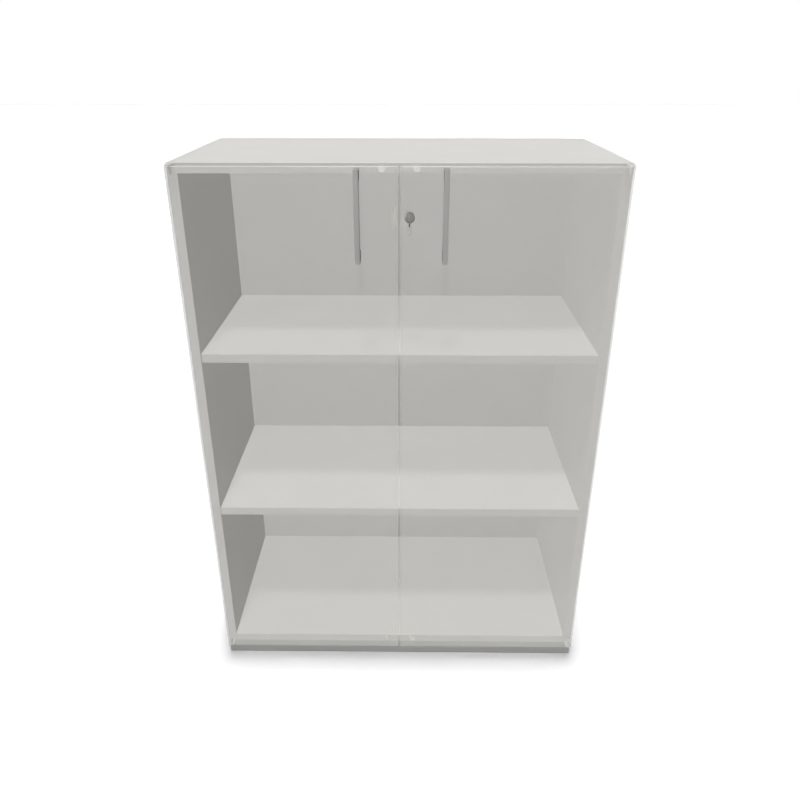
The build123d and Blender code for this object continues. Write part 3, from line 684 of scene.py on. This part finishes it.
class StageSettings(bpy.types.PropertyGroup):
    eye: FloatVectorProperty(
        name="Eye", description="Place of the camera", subtype="TRANSLATION", unit="LENGTH",
        default=(0.01493, -1.45713, 1.2784),
    )
    tilt: FloatProperty(
        name="Tilt", description="How far the camera looks down", subtype="ANGLE",
        default=radians(25.6555),
    )
    turn: FloatProperty(
        name="Turn", description="How far the camera looks to the left", subtype="ANGLE",
        default=radians(0.6145),
    )
    lens: FloatProperty(name="Lens", description="Focal length", default=32.436, unit="CAMERA")
    floor_size: FloatProperty(
        name="Floor", description="Side of the square floor", default=40, unit="LENGTH"
    )
    floor_colour: colour_setting("Floor colour", "Colour of the floor", "#b1b1b1")
    floor_lift: FloatProperty(
        name="Floor lift",
        description="Light that the floor adds for the camera, so that it is white",
        default=0.61, min=0, max=1,
    )
    # The soft shadow at the cupboard's foot is painted: the floor's glow dimmed by ambient
    # occlusion.
    painted_shade_reach: FloatProperty(
        name="Shade reach", description="How far the soft shadow at the cupboard's foot spreads",
        default=0.08, min=0, unit="LENGTH",
    )
    key_azimuth: FloatProperty(
        name="Key azimuth", description="Direction of the key light, from the front to the left",
        subtype="ANGLE", default=atan2(KEY_LEAN_LEFT, KEY_LEAN_FRONT),
    )
    key_elevation: FloatProperty(
        name="Key elevation", description="Height of the key light above the horizon",
        subtype="ANGLE", default=radians(66.2),
    )
    key_spread: FloatProperty(
        name="Key spread", description="Angle that the key light fills, which softens its shadows",
        subtype="ANGLE", default=radians(7),
    )
    key_strength: strength_setting(
        "Key", "Strength of the key light, which casts the shadows", 0.68
    )
    plumb_strength: strength_setting(
        "Plumb light", "Strength of the light on the floor from straight above", 0.77
    )
    front_strength: strength_setting("Front fill", "Strength of the fill from the front", 1.17)
    left_strength: strength_setting("Left fill", "Strength of the fill from the left", 1.8)
    top_strength: strength_setting("Top fill", "Strength of the fill from above", 1.26)
    back_strength: strength_setting(
        "Back fill", "Strength of the fill from behind on the right", 3.2
    )


# Operators

class CUPBOARD_OT_carcass(bpy.types.Operator):
    """Finish the boards, their edging, and the wooden and steel parts that join them"""
    bl_idname = "cupboard.carcass"
    bl_label = "Carcass"

    def execute(self, context):
        settings = context.scene.cupboard_carcass
        fittings = context.scene.cupboard_fittings
        # The photograph shows the top board darker and the shelves paler than the other boards.
        # They are the same melamine: the top board's colour holds painted shade and the shelves'
        # colour holds painted light.
        finish_nodes(
            melamine("pearl_melamine_light_grey", settings.board, settings.board_roughness),
            "left_side_panel", "right_side_panel", "bottom_board", "back_panel",
        )
        finish_nodes(
            melamine("pearl_melamine_top_painted_shade", settings.top, settings.board_roughness), "top_board"
        )
        finish_nodes(
            melamine("pearl_melamine_shelves_painted_light", settings.shelf, settings.board_roughness),
            "upper_shelf", "lower_shelf",
        )
        # Extruded ABS strip: an even colour, a little glossier than the boards.
        finish_nodes(
            plain(
                "abs_edging_light_grey", settings.edging,
                roughness=0.42, ior=1.53, grain=1.2, strength=0.08,
            ),
            "side_panel_edging", "top_board_edging", "bottom_board_edging", "shelf_edging",
        )
        finish_nodes(
            melamine("pearl_melamine_mid_grey", settings.plinth, settings.board_roughness),
            "plinth_front_rail", "plinth_back_rail", "plinth_side_rails",
        )
        finish_nodes(
            beech("planed_beech", settings.beech_light, settings.beech_dark),
            "carcass_dowels", "plinth_corner_blocks",
        )
        finish_nodes(zinc_plate("zinc_plated_steel", fittings.zinc), "shelf_pins")
        return {"FINISHED"}


class CUPBOARD_OT_doors(bpy.types.Operator):
    """Finish the two see-through doors"""
    bl_idname = "cupboard.doors"
    bl_label = "Doors"

    def execute(self, context):
        settings = context.scene.cupboard_doors
        low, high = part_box("right_door")
        finish_nodes(
            acrylic("polished_milky_acrylic", settings, low[2], high[2]), "left_door", "right_door"
        )
        return {"FINISHED"}


class CUPBOARD_OT_handles(bpy.types.Operator):
    """Finish the bow handles"""
    bl_idname = "cupboard.handles"
    bl_label = "Handles"

    def execute(self, context):
        fittings = context.scene.cupboard_fittings
        # Brushed lengthwise, then anodised: a satin sheen whose marks run up and down.
        finish_nodes(
            metal(
                "satin_anodised_aluminium", fittings.aluminium,
                roughness=0.6, grain=0.5, stretch=(1, 1, 0.03), strength=0.05,
            ),
            "left_handle", "right_handle",
        )
        return {"FINISHED"}


class CUPBOARD_OT_lock(bpy.types.Operator):
    """Finish the lock, its key and the strike on the other door"""
    bl_idname = "cupboard.lock"
    bl_label = "Lock and key"

    def execute(self, context):
        fittings = context.scene.cupboard_fittings
        # Satin nickel plate: a soft grey shine that runs no particular way.
        finish_nodes(
            metal(
                "satin_nickel", fittings.nickel,
                roughness=0.42, grain=0.5, stretch=NO_LAY, strength=0.04,
            ),
            "lock_housing", "lock_plug",
        )
        # Nickel-plated key, darker and duller than the lock, or else its bow shows a bright streak
        # that the photograph hasn't.
        finish_nodes(
            metal(
                "nickel_plated_key", fittings.key,
                roughness=0.5, grain=0.5, stretch=NO_LAY, strength=0.04,
            ),
            "key",
        )
        finish_nodes(
            zinc_plate("zinc_plated_lock_parts", fittings.zinc),
            "lock_ring_nut", "lock_cam", "cam_screw", "strike_plate", "strike_stud",
        )
        return {"FINISHED"}


class CUPBOARD_OT_hinges(bpy.types.Operator):
    """Finish the pivot hinges and the magnetic catches"""
    bl_idname = "cupboard.hinges"
    bl_label = "Hinges and catches"

    def execute(self, context):
        fittings = context.scene.cupboard_fittings
        finish_nodes(
            powder_coat("powder_coated_steel", fittings.powder_coat),
            "top_pivot_brackets", "bottom_pivot_brackets",
        )
        # Moulded nylon: an even pale grey with a waxy sheen.
        finish_nodes(
            plain(
                "moulded_nylon", fittings.nylon,
                roughness=0.45, ior=1.53, grain=0.8, strength=0.1,
            ),
            "left_door_bushes", "right_door_bushes", "catch_sleeves",
        )
        finish_nodes(
            zinc_plate("zinc_plated_hinge_parts", fittings.bright_zinc, roughness=0.5),
            "pivot_pins", "left_catch_plates", "right_catch_plates",
        )
        # Pressed and ground ferrite: dark grey, with the scratches of the grinding.
        finish_nodes(
            plain(
                "ground_ferrite", fittings.ferrite,
                roughness=0.5, ior=1.6, grain=0.5, strength=0.2,
            ),
            "catch_magnets",
        )
        return {"FINISHED"}


class CUPBOARD_OT_screws(bpy.types.Operator):
    """Make the screws of the brackets, the plinth, the handles and the strike"""
    bl_idname = "cupboard.screws"
    bl_label = "Screws"

    def execute(self, context):
        fittings = context.scene.cupboard_fittings
        settings = context.scene.cupboard_screws
        finishes = {
            "zinc_steel": zinc_plate("zinc_plated_screws", fittings.zinc),
            "light_grey_steel": powder_coat("painted_screws", fittings.powder_coat),
        }
        tree = screw_tree()
        sockets = {item.name: item.identifier for item in tree.interface.items_tree}
        for node, (body, slot, facing, shank, head) in SCREWS.items():
            places, length = head_places(
                node, facing, head * MILLIMETRE, settings.bracket_spacing
            )
            mesh = bpy.data.meshes.new(node + "_places")
            mesh.from_pydata(places, [], [])
            driven = bpy.data.objects.new(node + "_places", mesh)
            context.scene.collection.objects.link(driven)
            modifier = driven.modifiers.new("screws", "NODES")
            modifier.node_group = tree
            sizes = {
                "Shank radius": shank * MILLIMETRE, "Head radius": head * MILLIMETRE,
                "Length": length, "Core radius": settings.core * shank * MILLIMETRE,
                "Pitch": settings.pitch * shank * MILLIMETRE,
                "Recess width": settings.recess_width,
                "Recess depth": settings.recess_depth * head * MILLIMETRE,
                "Facing": facing, "Seed": settings.seed, "Finish": finishes[slot],
            }
            for name, value in sizes.items():
                modifier[sockets[name]] = value
            evaluated = driven.evaluated_get(context.evaluated_depsgraph_get())
            made = bpy.data.meshes.new_from_object(evaluated)
            driven.modifiers.remove(modifier)
            bpy.data.objects.remove(driven)
            # The Boolean node leaves an empty material slot before the finish.
            made.materials.pop(index=0)
            made.name = "cross_" + node
            made.shade_smooth()
            made.set_sharp_from_angle(angle=SHARP_EDGE)
            piece = bpy.data.objects.new("cross_" + node, made)
            context.scene.collection.objects.link(piece)
            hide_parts(node)
            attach(piece, body)
        return {"FINISHED"}


class CUPBOARD_OT_stage(bpy.types.Operator):
    """Make the floor, the white surroundings, the lamps and the camera"""
    bl_idname = "cupboard.stage"
    bl_label = "Studio"

    def execute(self, context):
        scene = context.scene
        settings = scene.cupboard_stage
        scene.view_settings.view_transform = "Standard"
        floor = self.make_floor(scene, settings)
        self.make_world(scene)
        key = self.make_lamp(
            scene, "key_light", direction(settings.key_azimuth, settings.key_elevation),
            settings.key_strength,
        )
        key.data.angle = settings.key_spread
        all_but_floor = bpy.data.collections.new("all_but_floor")
        all_but_floor.objects.link(floor)
        all_but_floor.collection_objects[0].light_linking.link_state = "EXCLUDE"
        for name, azimuth, elevation, strength, shadow in (
            ("front_fill", 0, 20, settings.front_strength, False),
            ("left_fill", 80, 15, settings.left_strength, False),
            ("top_fill", 0, 89, settings.top_strength, False),
            ("back_fill", 225, 0, settings.back_strength, True),
        ):
            fill = self.make_lamp(
                scene, name, direction(radians(azimuth), radians(elevation)), strength
            )
            fill.data.angle = FILL_SPREAD
            fill.data.use_shadow = shadow
            # A fill lights only what faces it. Its light doesn't bounce on, and it leaves out the
            # floor, which has light of its own.
            fill.data.cycles.max_bounces = 0
            fill.light_linking.receiver_collection = all_but_floor
        # The floor alone has a light from straight above, which the doors' bottom edges dim.
        plumb = self.make_lamp(scene, "plumb_light", Vector((0, 0, 1)), settings.plumb_strength)
        plumb.data.angle = PLUMB_SPREAD
        only_floor = bpy.data.collections.new("only_floor")
        only_floor.objects.link(floor)
        plumb.light_linking.receiver_collection = only_floor
        lens = bpy.data.cameras.new("camera")
        lens.lens = settings.lens
        lens.sensor_width = 36
        lens.clip_start = 0.01
        lens.clip_end = 200
        camera = bpy.data.objects.new("camera", lens)
        camera.location = settings.eye
        camera.rotation_euler = (pi / 2 - settings.tilt, 0, settings.turn)
        scene.collection.objects.link(camera)
        scene.camera = camera
        return {"FINISHED"}

    def seen_rays(self, tree):
        """Socket that is 1 for rays from the camera, in reflections and through acrylic, else 0."""
        rays = add_node(tree, "ShaderNodeLightPath").outputs
        seen = rays["Is Camera Ray"]
        for kind in ("Is Glossy Ray", "Is Transmission Ray"):
            either = add_node(tree, "ShaderNodeMath", {0: seen, 1: rays[kind]}, operation="MAXIMUM")
            seen = either.outputs["Value"]
        return seen

    def make_floor(self, scene, settings):
        """A grey floor. To the camera, in reflections and through acrylic it is white and adds a
        glow of its own, which ambient occlusion dims at the cupboard's foot: a painted soft shadow
        there."""
        half = settings.floor_size / 2
        mesh = bpy.data.meshes.new("floor")
        mesh.from_pydata(
            [(-half, -half, 0), (half, -half, 0), (half, half, 0), (-half, half, 0)],
            [], [(0, 1, 2, 3)],
        )
        material, tree = new_material("studio_floor", settings.floor_colour)
        seen = self.seen_rays(tree)
        colour = add_node(
            tree, "ShaderNodeMix",
            {"Factor": seen, "A": settings.floor_colour, "B": (1, 1, 1, 1)},
            data_type="RGBA",
        )
        matt = add_node(tree, "ShaderNodeBsdfDiffuse", {"Color": colour.outputs["Result"]})
        # Painted soft shadow: the floor's glow is dimmed by ambient occlusion near the cupboard's
        # foot.
        shade = add_node(
            tree, "ShaderNodeAmbientOcclusion", {"Distance": settings.painted_shade_reach},
            samples=SHADE_SAMPLES,
        )
        shade = add_node(
            tree, "ShaderNodeMapRange",
            {
                "Value": shade.outputs["AO"], "From Min": DEEPEST_PAINTED_SHADE, "From Max": END_OF_PAINTED_SHADE,
                "To Min": GLOW_IN_PAINTED_SHADE,
            },
        )
        lift = add_node(
            tree, "ShaderNodeMath",
            {0: shade.outputs["Result"], 1: settings.floor_lift}, operation="MULTIPLY",
        )
        lift = add_node(
            tree, "ShaderNodeMath",
            {0: seen, 1: lift.outputs["Value"]}, operation="MULTIPLY",
        )
        glow = add_node(tree, "ShaderNodeEmission", {"Strength": lift.outputs["Value"]})
        both = add_node(
            tree, "ShaderNodeAddShader", {0: matt.outputs["BSDF"], 1: glow.outputs["Emission"]}
        )
        add_node(tree, "ShaderNodeOutputMaterial", {"Surface": both.outputs["Shader"]})
        mesh.materials.append(material)
        floor = bpy.data.objects.new("floor", mesh)
        scene.collection.objects.link(floor)
        return floor

    def make_world(self, scene):
        """White where the camera, metal and acrylic see it. It lights nothing else."""
        world = bpy.data.worlds.new("studio")
        world.use_nodes = True
        tree = world.node_tree
        tree.nodes.clear()
        seen = self.seen_rays(tree)
        dark = add_node(tree, "ShaderNodeBackground", {"Color": (1, 1, 1, 1), "Strength": 0.0})
        white = add_node(tree, "ShaderNodeBackground", {"Color": (1, 1, 1, 1), "Strength": 1.0})
        mix = add_node(
            tree, "ShaderNodeMixShader",
            {"Fac": seen, 1: dark.outputs["Background"], 2: white.outputs["Background"]},
        )
        add_node(tree, "ShaderNodeOutputWorld", {"Surface": mix.outputs["Shader"]})
        scene.world = world

    def make_lamp(self, scene, name, towards, strength):
        """A sun lamp that shines from this direction."""
        light = bpy.data.lights.new(name, "SUN")
        light.energy = strength
        lamp = bpy.data.objects.new(name, light)
        lamp.rotation_euler = towards.to_track_quat("Z", "Y").to_euler()
        scene.collection.objects.link(lamp)
        return lamp


OPERATORS = (
    CUPBOARD_OT_carcass,
    CUPBOARD_OT_doors,
    CUPBOARD_OT_handles,
    CUPBOARD_OT_lock,
    CUPBOARD_OT_hinges,
    CUPBOARD_OT_screws,
    CUPBOARD_OT_stage,
)
SETTINGS = {
    "cupboard_carcass": CarcassSettings,
    "cupboard_doors": DoorSettings,
    "cupboard_fittings": FittingSettings,
    "cupboard_screws": ScrewSettings,
    "cupboard_stage": StageSettings,
}


class CUPBOARD_PT_panel(bpy.types.Panel):
    """The steps that finish the cupboard, each with its settings"""
    bl_label = "Cupboard"
    bl_space_type = "VIEW_3D"
    bl_region_type = "UI"
    bl_category = "Cupboard"

    def draw(self, context):
        for operator in OPERATORS:
            self.layout.operator(operator.bl_idname)
        for name, group in SETTINGS.items():
            box = self.layout.box()
            for key in group.__annotations__:
                box.prop(getattr(context.scene, name), key)


def register():
    for group in SETTINGS.values():
        bpy.utils.register_class(group)
    for name, group in SETTINGS.items():
        setattr(bpy.types.Scene, name, PointerProperty(type=group))
    for operator in OPERATORS:
        bpy.utils.register_class(operator)
    bpy.utils.register_class(CUPBOARD_PT_panel)


def unregister():
    bpy.utils.unregister_class(CUPBOARD_PT_panel)
    for operator in reversed(OPERATORS):
        bpy.utils.unregister_class(operator)
    for name, group in SETTINGS.items():
        delattr(bpy.types.Scene, name)
        bpy.utils.unregister_class(group)


def main():
    register()
    for operator in OPERATORS:
        group, name = operator.bl_idname.split(".")
        getattr(getattr(bpy.ops, group), name)()


if __name__ == "__main__":
    main()
